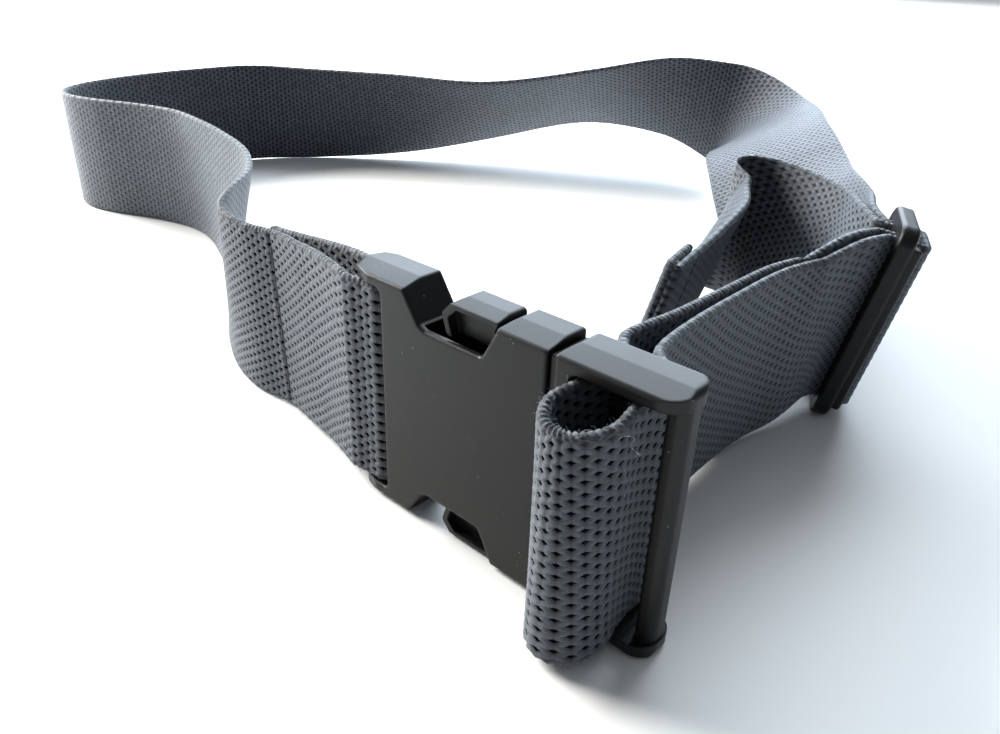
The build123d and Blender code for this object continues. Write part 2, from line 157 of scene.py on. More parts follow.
def makeWeaveGroup():
    # the highest of a yarn and its two neighbours, with a shade for each lobe
    tree, given, out = newGroup(
        "webbingWeave",
        [("Picks", "NodeSocketVector", None)],
        [("Height", "NodeSocketFloat"), ("Shade", "NodeSocketFloat")],
    )
    parts = tree.nodes.new("ShaderNodeSeparateXYZ")
    tree.links.new(given[0], parts.inputs[0])
    u, v = parts.outputs[0], parts.outputs[1]
    row = calc(tree, "FLOOR", v)
    across = calc(tree, "SUBTRACT", calc(tree, "SUBTRACT", v, row), 0.5)
    highest = None
    for step in (0.0, 1.0, -1.0):
        one = tree.nodes.new("ShaderNodeGroup")
        one.node_tree = yarnGroup
        tree.links.new(u, one.inputs["Picks"])
        tree.links.new(calc(tree, "SUBTRACT", across, step), one.inputs["Across"])
        tree.links.new(calc(tree, "ADD", row, step), one.inputs["Row"])
        highest = one.outputs[0] if highest is None else calc(tree, "MAXIMUM", highest, one.outputs[0])
    tree.links.new(highest, out["Height"])
    cell = tree.nodes.new("ShaderNodeCombineXYZ")
    moved = calc(tree, "MULTIPLY_ADD", calc(tree, "FLOORED_MODULO", row, 2.0), yarn["stagger"], u)
    tree.links.new(calc(tree, "FLOOR", moved), cell.inputs[0])
    tree.links.new(row, cell.inputs[1])
    shade = tree.nodes.new("ShaderNodeTexWhiteNoise")
    tree.links.new(cell.outputs[0], shade.inputs[0])
    tree.links.new(shade.outputs["Value"], out["Shade"])
    return tree


def yarnHeight(u, y, row):
    place = (u + yarn["stagger"] * (row % 2) + yarn["phase"]) % yarn["repeat"] - yarn["repeat"] / 2
    side = np.abs(place)
    top = np.sqrt(np.maximum(1 - (side / yarn["reach"]) ** yarn["blunt"], 0))
    top *= 1 - yarn["crease"] * np.exp(-yarn["creaseSharp"] * place**2)
    off = (y - yarn["peak"] * (1 - 2 * side / yarn["reach"])) / yarn["width"]
    return top * np.sqrt(np.maximum(1 - off**2, 0))


def weaveHeight(u, v):
    # the same weave for the mesh, from 0 to 1
    row = np.floor(v)
    y = v - row - 0.5
    return np.maximum.reduce([yarnHeight(u, y - step, row + step) for step in (0, 1, -1)])


grain = {
    "fine": 3200,  # scale of the spark-eroded surface
    "cloud": 60,
    "specks": {"scale": 420, "size": 0.075, "patches": 170, "above": 0.58},
    "scratches": {
        "stretch": (260, 260, 900), "width": 0.0035, "warpScale": 25, "warp": 0.012,
        "patches": 130, "above": 0.66, "strength": 0.6,
    },
}


def makeGrainGroup():
    # moulded plastic: fine spark-eroded grain, faint scratches and specks of dust
    tree, given, out = newGroup(
        "mouldedGrain",
        [("Grain", "NodeSocketFloat", 1.0), ("Wear", "NodeSocketFloat", 1.0)],
        [("Height", "NodeSocketFloat"), ("Marks", "NodeSocketFloat"), ("Cloud", "NodeSocketFloat")],
    )
    speck, scratch = grain["specks"], grain["scratches"]
    place = tree.nodes.new("ShaderNodeTexCoord").outputs["Object"]
    fine = noise(tree, place, grain["fine"], 3, 0.6).outputs["Fac"]
    cloud = noise(tree, place, grain["cloud"], 3, 0.55).outputs["Fac"]
    cells = noise(tree, place, speck["scale"], kind="ShaderNodeTexVoronoi").outputs["Distance"]
    patches = noise(tree, place, speck["patches"], 1).outputs["Fac"]
    dot = calc(
        tree, "MULTIPLY",
        calc(tree, "LESS_THAN", cells, speck["size"]), calc(tree, "GREATER_THAN", patches, speck["above"]),
    )
    warped = tree.nodes.new("ShaderNodeVectorMath")
    warped.operation = "MULTIPLY_ADD"
    tree.links.new(noise(tree, place, scratch["warpScale"], 1).outputs["Color"], warped.inputs[0])
    warped.inputs[1].default_value = [scratch["warp"]] * 3
    tree.links.new(place, warped.inputs[2])
    lines = noise(tree, stretched(tree, warped.outputs[0], scratch["stretch"]), 1.0, 0).outputs["Fac"]
    offLine = calc(tree, "ABSOLUTE", calc(tree, "SUBTRACT", lines, 0.5))
    line = calc(tree, "LESS_THAN", offLine, scratch["width"])
    patches = noise(tree, place, scratch["patches"], 1).outputs["Fac"]
    where = calc(tree, "MULTIPLY", calc(tree, "GREATER_THAN", patches, scratch["above"]), scratch["strength"])
    marks = calc(tree, "MAXIMUM", dot, calc(tree, "MULTIPLY", line, where))
    marks = calc(tree, "MULTIPLY", marks, given["Wear"])
    tree.links.new(calc(tree, "MULTIPLY", fine, given["Grain"]), out["Height"])
    tree.links.new(marks, out["Marks"])
    tree.links.new(cloud, out["Cloud"])
    return tree


yarnGroup = makeYarnGroup()
weaveGroup = makeWeaveGroup()
grainGroup = makeGrainGroup()


def emptyMaterial(name):
    made = bpy.data.materials.new(name)
    made.use_nodes = True
    tree = made.node_tree
    return made, tree, tree.nodes["Principled BSDF"]


def bumpInto(tree, shader, height, distance, strength=1.0, softEdge=0.0):
    node = tree.nodes.new("ShaderNodeBump")
    if softEdge:
        edge = tree.nodes.new("ShaderNodeBevel")
        edge.samples = 4
        edge.inputs["Radius"].default_value = softEdge
        tree.links.new(edge.outputs[0], node.inputs["Normal"])
    node.inputs["Distance"].default_value = distance
    node.inputs["Strength"].default_value = strength
    tree.links.new(height, node.inputs["Height"])
    tree.links.new(node.outputs[0], shader.inputs["Normal"])


webbingFinish = {
    # pit: near black painted shade inside the pits of the weave
    "pit": (0.003, 0.003, 0.004),
    # low is painted shade down between the yarns, high the colour on their tops
    "low": (0.005, 0.0055, 0.008),
    "high": (0.066, 0.074, 0.094),
    "grooveShade": 3.2,  # how quickly the colour falls off between the yarns, as painted shade in the grooves
    "pitEdge": {"height": 0.17, "sharp": 2.6, "fuzz": 0.3},
    "selvedgeFill": 0.85,  # how far the painted shade of the pits is filled in along the edges
    "farPit": 0.72,  # and where the mesh has no relief
    "farLight": 0.8,  # how much paler it is painted there, as painted light
    "fibres": {"stretch": (1.1, 9.0, 1), "scale": 1.6},
    "clouds": {"stretch": (0.05, 0.09, 1), "scale": 1.0},
    "shades": {"lobe": (0.5, 0.62), "fibre": 2.0, "cloud": (0.5, 0.75)},
    "rough": (0.25, 0.36),
    "specular": 0.45,
    "sheen": 0.35,
    "sheenRough": 0.45,
    "sheenTint": (0.78, 0.90, 1.0),
    "bump": 0.00042,
    "meshShare": 0.7,  # how much of the bump goes where the mesh has the relief
    "fibreBump": 0.00022,
}


def named(tree, name):
    # a value stored on the mesh
    node = tree.nodes.new("ShaderNodeAttribute")
    node.attribute_name = name
    return node.outputs["Fac"]


def webbingMaterial():
    look = webbingFinish
    made, tree, shader = emptyMaterial("woven_webbing")
    where = tree.nodes.new("ShaderNodeUVMap")
    where.uv_map = "weave"
    where = where.outputs[0]
    weave = tree.nodes.new("ShaderNodeGroup")
    weave.node_tree = weaveGroup
    tree.links.new(where, weave.inputs[0])
    height, shade = weave.outputs["Height"], weave.outputs["Shade"]
    fibres = noise(tree, stretched(tree, where, look["fibres"]["stretch"]), look["fibres"]["scale"], 3, 0.65)
    clouds = noise(tree, stretched(tree, where, look["clouds"]["stretch"]), look["clouds"]["scale"], 3, 0.6)
    fibres, clouds = fibres.outputs["Fac"], clouds.outputs["Fac"]
    relief, selvedge = named(tree, "meshRelief"), named(tree, "selvedge")
    # how far each point is out of a pit; inside a pit the colour is painted near black, as painted shade
    edge = look["pitEdge"]
    filled = calc(tree, "MULTIPLY_ADD", relief, -look["farPit"], look["farPit"])
    filled = calc(tree, "MAXIMUM", filled, calc(tree, "MULTIPLY", selvedge, look["selvedgeFill"]))
    fuzzy = calc(tree, "MULTIPLY_ADD", fibres, edge["fuzz"], calc(tree, "SUBTRACT", height, edge["height"]))
    fuzzy = calc(tree, "MAXIMUM", calc(tree, "MULTIPLY", fuzzy, edge["sharp"]), 0.0)
    outside = calc(tree, "MAXIMUM", calc(tree, "MINIMUM", fuzzy, 1.0), filled)
    # painted shade: the colour darkens from high to low down between the yarns
    body = mixColour(tree, calc(tree, "POWER", height, look["grooveShade"]), look["low"], look["high"])
    # painted shade: near black in the pits
    body = mixColour(tree, outside, look["pit"], body)
    light = calc(tree, "MULTIPLY_ADD", shade, *look["shades"]["lobe"])
    light = calc(tree, "MULTIPLY", light, calc(tree, "MULTIPLY", fibres, look["shades"]["fibre"]))
    # painted light: the webbing is painted paler where the mesh has no relief
    paintedFarLight = calc(tree, "MULTIPLY_ADD", relief, -look["farLight"], 1 + look["farLight"])
    light = calc(tree, "MULTIPLY", light, paintedFarLight)
    light = calc(tree, "MULTIPLY", light, calc(tree, "MULTIPLY_ADD", clouds, *look["shades"]["cloud"]))
    grey = tree.nodes.new("ShaderNodeCombineColor")
    for label in ("Red", "Green", "Blue"):
        tree.links.new(light, grey.inputs[label])
    tree.links.new(mixColour(tree, 1.0, body, grey.outputs[0], "MULTIPLY"), shader.inputs["Base Color"])
    unmade = calc(tree, "MULTIPLY_ADD", relief, -look["meshShare"], 1.0)
    lobes = calc(tree, "MULTIPLY", calc(tree, "MULTIPLY", height, unmade), look["bump"] / mm)
    bumpInto(tree, shader, calc(tree, "MULTIPLY_ADD", fibres, look["fibreBump"] / mm, lobes), mm)
    tree.links.new(calc(tree, "MULTIPLY_ADD", fibres, *look["rough"]), shader.inputs["Roughness"])
    tree.links.new(calc(tree, "MULTIPLY", outside, look["sheen"]), shader.inputs["Sheen Weight"])
    tree.links.new(calc(tree, "MULTIPLY", outside, look["specular"]), shader.inputs["Specular IOR Level"])
    shader.inputs["Sheen Roughness"].default_value = look["sheenRough"]
    shader.inputs["Sheen Tint"].default_value = (*look["sheenTint"], 1)
    return made


plasticFinish = {
    "colour": (0.007, 0.0068, 0.0072),
    "mark": (0.12, 0.12, 0.125),
    "rough": 0.28,
    "cloudRough": 0.16,
    "markRough": 0.2,
    "specular": 0.22,
    "grain": 0.00002,
    "edge": 0.0007,  # radius that softens the moulded edges
}


def plasticMaterial():
    look = plasticFinish
    made, tree, shader = emptyMaterial("black_acetal")
    texture = tree.nodes.new("ShaderNodeGroup")
    texture.node_tree = grainGroup
    height, marks, cloud = (texture.outputs[label] for label in ("Height", "Marks", "Cloud"))
    tree.links.new(mixColour(tree, marks, look["colour"], look["mark"]), shader.inputs["Base Color"])
    rough = calc(tree, "MULTIPLY_ADD", cloud, look["cloudRough"], look["rough"])
    rough = calc(tree, "MULTIPLY_ADD", marks, look["markRough"], rough)
    tree.links.new(rough, shader.inputs["Roughness"])
    bumpInto(tree, shader, height, look["grain"], softEdge=look["edge"])
    shader.inputs["Specular IOR Level"].default_value = look["specular"]
    return made


threadFinish = {"colour": (0.10, 0.105, 0.115), "dark": (0.02, 0.02, 0.024)}
fibreFinish = {"colour": (0.34, 0.38, 0.44), "dark": (0.14, 0.155, 0.18)}
twist = {"scale": 2600, "rough": (0.3, 0.4), "bump": 0.0001, "sheen": 0.3}


def threadMaterial(name, finish):
    made, tree, shader = emptyMaterial(name)
    place = tree.nodes.new("ShaderNodeTexCoord").outputs["Object"]
    ply = noise(tree, place, twist["scale"], 2).outputs["Fac"]
    tree.links.new(mixColour(tree, ply, finish["dark"], finish["colour"]), shader.inputs["Base Color"])
    tree.links.new(calc(tree, "MULTIPLY_ADD", ply, *twist["rough"]), shader.inputs["Roughness"])
    bumpInto(tree, shader, ply, twist["bump"])
    shader.inputs["Sheen Weight"].default_value = twist["sheen"]
    return made


webbingLook = webbingMaterial()
plasticLook = plasticMaterial()
threadLook = threadMaterial("sewing_thread", threadFinish)
fibreLook = threadMaterial("loose_fibre", fibreFinish)
print("materials made")


# webbing: the strap runs through stations, each a lower and an upper edge point (x, y, z, x, y, z) in mm

spacing = 0.25  # of the points along a line


def onEdge(points):
    # stations where the webbing stands upright, from its lower edge
    return [(x, y, z, x, y, z + webbing["width"]) for x, y, z in points]


def smoothLine(stations, step=spacing):
    # points on a smooth line through the stations, evenly spaced
    p = np.array(stations, float)
    p = np.vstack([2 * p[0] - p[1], p, 2 * p[-1] - p[-2]])
    line = []
    for a, b, c, d in zip(p, p[1:], p[2:], p[3:]):
        count = max(4, int(np.linalg.norm(c[:3] - b[:3] + c[3:] - b[3:]) / 2 / step))
        s = np.linspace(0, 1, count, endpoint=False)[:, None]
        line.append(
            0.5 * (2 * b + (c - a) * s + (2 * a - 5 * b + 4 * c - d) * s**2 + (3 * b - a - 3 * c + d) * s**3)
        )
    line = np.vstack(line + [p[-2:-1]])
    return evenly(line, step)


def evenly(line, step):
    middle = (line[:, :3] + line[:, 3:]) / 2
    s = np.concatenate([[0], np.cumsum(np.linalg.norm(np.diff(middle, axis=0), axis=1))])
    at = np.linspace(0, s[-1], max(3, int(round(s[-1] / step)) + 1))
    return np.stack([np.interp(at, s, line[:, i]) for i in range(6)], 1)


def blurred(line, radius, step=spacing):
    # softens the bends of an even line; its two ends stay put
    n = int(radius * 3 / step)
    kernel = np.exp(-0.5 * (np.arange(-n, n + 1) * step / radius) ** 2)
    kernel /= kernel.sum()
    before = 2 * line[0] - line[n:0:-1]
    after = 2 * line[-1] - line[-2 : -n - 2 : -1]
    full = np.vstack([before, line, after])
    return np.stack([np.convolve(full[:, i], kernel, "valid") for i in range(6)], 1)


glide = {
    "centre": (12.3, 123.5),
    "length": 58.0,
    "thickness": 4.6,
    "centreBar": 5.2,
    "heading": 113.5,  # degrees
    "lean": 11.5,
    "reach": 16.0,  # how far the straight legs of the webbing go from its middle
    "nearDip": 0.65,  # how steeply they leave it, towards the buckle
    "farDip": 0.3,
    "gap": 0.3,
    "layer": 0.2,  # extra way round the bar for the outer layer
    "webbing": 2.2,
}


def glideFrame():
    turn, lean = math.radians(glide["heading"]), math.radians(glide["lean"])
    along = np.array([math.cos(turn), math.sin(turn), 0])
    out = np.array([math.sin(turn) * math.cos(lean), -math.cos(turn) * math.cos(lean), -math.sin(lean)])
    middle = (glide["length"] * math.cos(lean) + glide["thickness"] * math.sin(lean)) / 2
    return np.array([*glide["centre"], middle]), along, np.cross(out, along), out


def wrapStations(layer):
    # a layer's way past the tri-glide's centre bar, from the buckle's side on
    step = glide["webbing"] + glide["gap"]
    rise = glide["thickness"] / 2 + glide["gap"] + glide["webbing"] / 2
    over, under = rise + layer * step, -rise - (1 - layer) * step
    turn = glide["centreBar"] / 2 + glide["gap"] + glide["webbing"] / 2 + layer * (step + glide["layer"])
    leg = glide["reach"] - turn
    path = [
        (-glide["reach"], under - glide["nearDip"] * leg), (-turn, under), (-turn, over),
        (turn, over), (turn, under), (glide["reach"], under - glide["farDip"] * leg),
    ]
    origin, along, up, out = glideFrame()
    made = []
    for x, z in path:
        middle = origin + along * x + out * z
        made.append((*(middle - up * webbing["width"] / 2), *(middle + up * webbing["width"] / 2)))
    return made


def cornered(stations, step=spacing):
    # straight runs between stations, for webbing folded round a bar
    return evenly(np.array(stations, float), step)


def joined(*lines):
    made = [lines[0]]
    for line in lines[1:]:
        made.append(line[1:])
    return evenly(np.vstack(made), spacing)


socketHeight = 57.0
low = (socketHeight - webbing["width"]) / 2  # lower edge of the webbing in the buckle
socketBar = {"turnX": -47.1, "outY": 1.8, "inY": 9.7}  # where the webbing goes round it
socketEnd = onEdge([
    (-101.2, 12.6, 0.4), (-97.5, 12.5, 0.6), (-84, 13.0, 1.6), (-72, 12.7, 2.8), (-62, 11.6, low),
    (-53.5, socketBar["inY"], low),
])
socketFold = onEdge([
    (-53.5, socketBar["inY"], low), (socketBar["turnX"], socketBar["inY"], low),
    (socketBar["turnX"], socketBar["outY"], low), (-52.5, socketBar["outY"], low), (-57.0, 0.9, low),
    (-61.0, 2.1, low),
])
sewnOuter = onEdge([(-61.0, 2.1, low), (-72, 5.2, 2.8), (-84, 7.7, 1.6)])
leftRun = [
    *onEdge([(-84, 7.8, 1.6), (-97.5, 10, 0.6), (-112, 9, 0), (-127, 12, 0)]),
    (-145, 20, 0.2, -142, 24, 49.8), (-165, 32, 0.3, -159, 41, 49.4),
    (-188, 46, 0.3, -182, 54, 49.4), (-213, 57, 0.2, -210, 61, 49.8),
    *onEdge([
        (-236, 65, 0), (-255, 66, 0), (-274, 61, 0), (-297, 51, 0), (-314, 48, 0), (-328, 54, 0),
        (-338, 72, 0), (-343, 100, 0), (-342, 128, 0.1), (-335, 154, 0.3),
    ]),
    (-316, 182, 0.8, -311, 176, 49), (-286, 214, 4, -273, 200, 49), (-250, 250, 13, -228, 224, 49),
    (-210, 284, 24, -184, 257, 57), (-170, 302, 22, -150, 284, 64), (-139, 298, 18, -118, 297, 60),
    (-122, 274, 23, -88, 291, 55), (-107, 245, 31, -67, 267, 55), (-94, 221, 35, -54, 243, 54),
    (-83, 205, 33, -42, 226, 52), (-72, 191, 27, -32, 212, 50), (-58, 176, 18, -20, 192, 50),
    (-32, 157, 9, -5, 166, 51),
]
wraps = {layer: wrapStations(layer) for layer in (0, 1)}
tailRun = [
    wraps[0][5], (-20, 142, 7, -6, 150, 53), (-38, 149, 9, -18, 160, 53), (-50, 151, 9, -31, 163, 54),
    (-58, 145, 8, -38, 158, 54), (-54, 132, 6, -37, 145, 53), (-40, 114, 4, -27, 124, 52),
    (-31, 87, 3, -20, 97, 51), (-25.5, 61, 2, -15, 71, 50),
]
backY = buckle["thickness"] + 1.5  # just behind the plug
leftX, rightX = buckle["leftSlotX"], buckle["rightSlotX"]
outerStrap = [
    wraps[1][0], (4.5, 93, 3.5, 11.5, 95, 53), (2, 77, 2.5, 7, 78, 52.5), (2, 57, 2, 6, 57, 52),
    (4, 38, 2.5, 7, 38, 52.5), (9.5, 22, 3.2, 9.5, 22, 53.2),
    *onEdge([(rightX - 5.8, backY + 3.5, low), (rightX - 1.2, backY, low)]),
]
rollOval = {"x": 12.4, "y": -3.4, "wide": 6.6, "deep": 8.8, "stations": 9, "inset": 0.02}
rollLean = {"drop": 2.0, "from": 7.0, "over": 19.0}  # its front is lower
rollFront = [
    (rollOval["x"] + rollOval["wide"] * math.cos(turn), rollOval["y"] - rollOval["deep"] * math.sin(turn))
    for turn in np.linspace(rollOval["inset"], math.pi - rollOval["inset"], rollOval["stations"])
]
rollPlan = [
    (rightX - 1.2, backY), (rightX - 1.5, 9.4), (rightX - 1.5, 5.75), (rightX - 1.1, 1.5),
    *rollFront,
    (leftX - 1.1, 1.5), (leftX - 0.2, 5.75), (leftX, 9.4), (leftX, backY),
]
roll = onEdge([
    (x, y, low - rollLean["drop"] * max(0, rollLean["from"] - y) / rollLean["over"]) for x, y in rollPlan
])
innerStrap = [
    *onEdge([(leftX, backY, low), (leftX - 3.5, backY + 4, low)]),
    (1, 23, 3.2, 1.5, 23, 53.2), (-1.5, 38, 2.5, 2, 38, 52.5), (-2, 57, 2, 2.2, 57, 52),
    (-1.5, 77, 2.5, 3.6, 78, 52.5), (1, 92, 3.5, 8, 94, 53), wraps[0][0],
]


def frames(line):
    # middle, the way along, the way across and the way out of the face, at each point
    middle = (line[:, :3] + line[:, 3:]) / 2
    along = np.gradient(middle, axis=0)
    along /= np.linalg.norm(along, axis=1)[:, None]
    out = np.cross(along, line[:, 3:] - line[:, :3])
    out /= np.linalg.norm(out, axis=1)[:, None]
    across = np.cross(out, along)
    s = np.concatenate([[0], np.cumsum(np.linalg.norm(np.diff(middle, axis=0), axis=1))])
    return middle, along, across, out, s


rim = {
    "points": 7,
    "bulge": 1.02,
    "loop": 0.42,  # height of the weft loops
    "sink": 0.2,
    "lean": 0.7,
    "band": 1.9,  # width along each edge that has no pits
    "fade": 0.7,
}


def section(rowStep):
    # round the webbing: how far across, which face (1 outer, -1 inner), and how far out of the edge
    half = webbing["width"] / 2 - webbing["edgeRadius"]
    flat = np.linspace(-half, half, int(round(2 * half / rowStep)))
    turns = np.linspace(0, math.pi, rim["points"] + 2)[1:-1]
    points = [(t, 1.0, 0.0) for t in flat]
    points += [(half, math.cos(a), math.sin(a)) for a in turns]
    points += [(t, -1.0, 0.0) for t in flat[::-1]]
    points += [(-half, -math.cos(a), -math.sin(a)) for a in turns]
    return np.array(points)


def webbingPiece(name, span, stepAlong, stepAcross, relief, pinch=(), ends=(False, False)):
    # span: first and last point of the strap line; relief: how much of the weave is in the mesh; pinch: seams
    i, j = span
    startAt = strapAt[i]
    s = strapAt[i : j + 1] - startAt
    count = max(2, int(round(s[-1] / stepAlong)) + 1)
    at = np.linspace(0, s[-1], count)
    middle, across, out = (
        np.stack([np.interp(at, s, strapFrames[part][i : j + 1, k]) for k in range(3)], 1)
        for part in (0, 2, 3)
    )
    across /= np.linalg.norm(across, axis=1)[:, None]
    out /= np.linalg.norm(out, axis=1)[:, None]
    t, face, beyond = section(stepAcross).T
    flat = np.abs(face) == 1
    u = ((at + startAt) / webbing["pick"])[:, None] + np.where(face == -1, yarn["stagger"], 0)
    v = np.broadcast_to((t + beyond * webbing["edgeRadius"] + webbing["width"] / 2) / webbing["row"], u.shape)
    amount = relief(at)[:, None] if callable(relief) else np.full((count, 1), relief)
    lobes = weaveHeight(u, v) * amount + webbing["meanHeight"] * (1 - amount)
    body = webbing["halfBody"] + webbing["relief"] * lobes
    for place, depth, width in pinch:
        body -= depth * np.exp(-(((at - place) / width) ** 2))[:, None]
    # the selvedge: loops of weft, one to a pick, that lean round the edge
    angle = np.arctan2(beyond, face)
    loops = 0.5 + 0.5 * np.cos(2 * math.pi * (u + angle / math.pi * rim["lean"]))
    rounding = webbing["edgeRadius"] + rim["loop"] * (loops * amount + 0.5 * (1 - amount)) - rim["sink"]
    outward = np.where(flat, body * np.sign(face), rounding * face * rim["bulge"])
    sideways = t + np.where(flat, 0, rounding * beyond)
    points = middle[:, None] + across[:, None] * sideways[..., None] + out[:, None] * outward[..., None]
    points[..., 2] = np.maximum(points[..., 2], 0.0)  # the edges lie flat on the table
    points = (points + shift) * mm
    index = np.arange(u.size).reshape(u.shape)
    beside = np.roll(index, -1, 1)
    quads = np.stack([index[:-1], beside[:-1], beside[1:], index[1:]], -1).reshape(-1, 4)
    caps = [ring.tolist() for closed, ring in zip(ends, (index[0], index[-1][::-1])) if closed]
    mesh = bpy.data.meshes.new(name)
    mesh.from_pydata(points.reshape(-1, 3).tolist(), [], quads.tolist() + caps)
    corners = np.zeros(len(mesh.loops), np.int32)
    mesh.loops.foreach_get("vertex_index", corners)
    uv = np.stack([u, v], -1).reshape(-1, 2)[corners]
    mesh.uv_layers.new(name="weave").data.foreach_set("uv", uv.astype(np.float32).ravel())
    selvedge = np.clip((np.abs(t) - (webbing["width"] / 2 - rim["band"])) / rim["fade"], 0, 1)
    for label, values in (("meshRelief", amount), ("selvedge", selvedge)):
        made = mesh.attributes.new(label, "FLOAT", "POINT")
        made.data.foreach_set("value", np.broadcast_to(values, u.shape).astype(np.float32).ravel())
    mesh.materials.append(webbingLook)
    mesh.update()
    mesh.shade_smooth()
    piece = bpy.data.objects.new(name, mesh)
    bpy.context.collection.objects.link(piece)
    return piece


def lengthOf(line):
    return frames(line)[4][-1]


# mesh steps, in mm
fine = {"along": 0.35, "across": 0.33}
middling = {"along": 0.42, "across": 0.40}
coarse = {"along": 1.0, "across": 0.95}

softness = {"socketFold": 0.8, "wrap": 0.75, "roll": 1.2, "whole": 0.5}  # radius of the blur on each bend
# a wider blur near the ends of the two wraps; each centre is so far from the start of a part
easing = {
    "radius": 4.5, "share": 1.3, "reach": 7.0,
    "centres": {"outerWrap": -3, "outerStrap": 3, "innerWrap": -3, "tail": 3},
}


def strapLine():
    # the whole strap as one line, and how far along it each of its parts starts
    parts = {
        "returned": smoothLine(socketEnd),
        "socketFold": blurred(cornered(socketFold), softness["socketFold"]),
        "loop": smoothLine([*sewnOuter, *leftRun[1:], wraps[1][5]]),
        "outerWrap": blurred(cornered(wraps[1][::-1]), softness["wrap"]),
        "outerStrap": smoothLine(outerStrap),
        "roll": blurred(smoothLine(roll), softness["roll"]),
        "innerStrap": smoothLine(innerStrap),
        "innerWrap": blurred(cornered(wraps[0]), softness["wrap"]),
        "tail": smoothLine(tailRun),
    }
    starts, total = {}, 0.0
    for name, line in parts.items():
        starts[name] = total
        total += lengthOf(line)
    starts["end"] = total
    line = joined(*parts.values())
    at, soft = frames(line)[4], blurred(line, easing["radius"])
    share = sum(
        np.exp(-(((at - starts[name] - off) / easing["reach"]) ** 2))
        for name, off in easing["centres"].items()
    )
    share = np.clip(share * easing["share"], 0, 1)[:, None]
    eased = line * (1 - share) + soft * share
    full = hemmed(evenly(eased, spacing))
    done = blurred(full, softness["whole"])
    return done, moved(moved(starts, line, eased), full, done)


def moved(places, old, new):
    # the same places along a line after its points have moved
    return {name: float(np.interp(place, frames(old)[4], frames(new)[4])) for name, place in places.items()}


hem = {"length": 14.0, "stitch": 11.5, "radius": 1.28, "fold": 4.0, "turns": 9}


def hemmed(line):
    # the line with its end folded back on its outer face
    middle, along, across, out, _ = frames(line)
    end, ahead, face = middle[-1], along[-1], out[-1]
    fold = []
    for turn in np.linspace(0, math.pi, hem["turns"])[1:]:
        up, forward = face * hem["radius"], ahead * hem["radius"]
        fold.append(end + up * (1 - math.cos(turn)) + forward * math.sin(turn))
    back = line[::-1][: int(hem["length"] / spacing)]
    backMiddle, _, _, backOut, _ = frames(back)
    fold += [m - n * 2 * hem["radius"] for m, n in zip(backMiddle, backOut)]
    reach = [(line[-1, 3:] - line[-1, :3]) / 2] * (hem["turns"] - 1) + [(q[3:] - q[:3]) / 2 for q in back]
    folded = [np.concatenate([m - r, m + r]) for m, r in zip(fold, reach)]
    return evenly(np.vstack([line, folded]), spacing)


strap, begins = strapLine()
strapAt = frames(strap)[4]
strapMiddle = (strap[:, :3] + strap[:, 3:]) / 2


def firstAfter(place, test):
    # how far along the strap its middle first passes the test, after a place
    i = int(np.searchsorted(strapAt, place))
    return strapAt[i + int(np.argmax(test(strapMiddle[i:])))]


# where the strap is cut, as a place on x or y
cuts = {"seamX": -97.5, "loopX": -150, "exitY": 185, "gripY": 78, "plugY": 15, "tailX": -28}
margins = {"seam": 12, "wrap": 60, "roll": 30}  # mm along the strap
outerSeam = firstAfter(begins["loop"], lambda p: p[:, 0] < cuts["seamX"])
marks = {
    "nearRun": outerSeam - margins["seam"],
    "loop": firstAfter(begins["loop"], lambda p: p[:, 0] < cuts["loopX"]),
    "exit": firstAfter(begins["outerWrap"] - margins["wrap"], lambda p: p[:, 1] < cuts["exitY"]),
    "outerWrap": begins["outerWrap"],
    "outerEnd": begins["outerStrap"],
    "outer": firstAfter(begins["outerStrap"], lambda p: p[:, 1] < cuts["gripY"]),
    "roll": firstAfter(begins["outerStrap"], lambda p: p[:, 1] < cuts["plugY"]),
    "inner": firstAfter(begins["roll"] + margins["roll"], lambda p: p[:, 1] > cuts["plugY"]),
    "innerEnd": firstAfter(begins["innerStrap"], lambda p: p[:, 1] > cuts["gripY"]),
    "innerWrap": begins["innerWrap"],
    "tailStart": begins["tail"],
    "tail": firstAfter(begins["tail"], lambda p: p[:, 0] < cuts["tailX"]),
}
tailEnd = begins["end"]
returnedSeam = 3.7  # the strap starts at the end that is sewn down beside the socket
hemSeams = (tailEnd - hem["stitch"], tailEnd + hem["fold"] + hem["stitch"])
# each seam draws the webbing in: place, depth, width
seams = [(returnedSeam, 0.5, 0.55), (outerSeam, 0.7, 0.55), *((place, 0.35, 0.6) for place in hemSeams)]
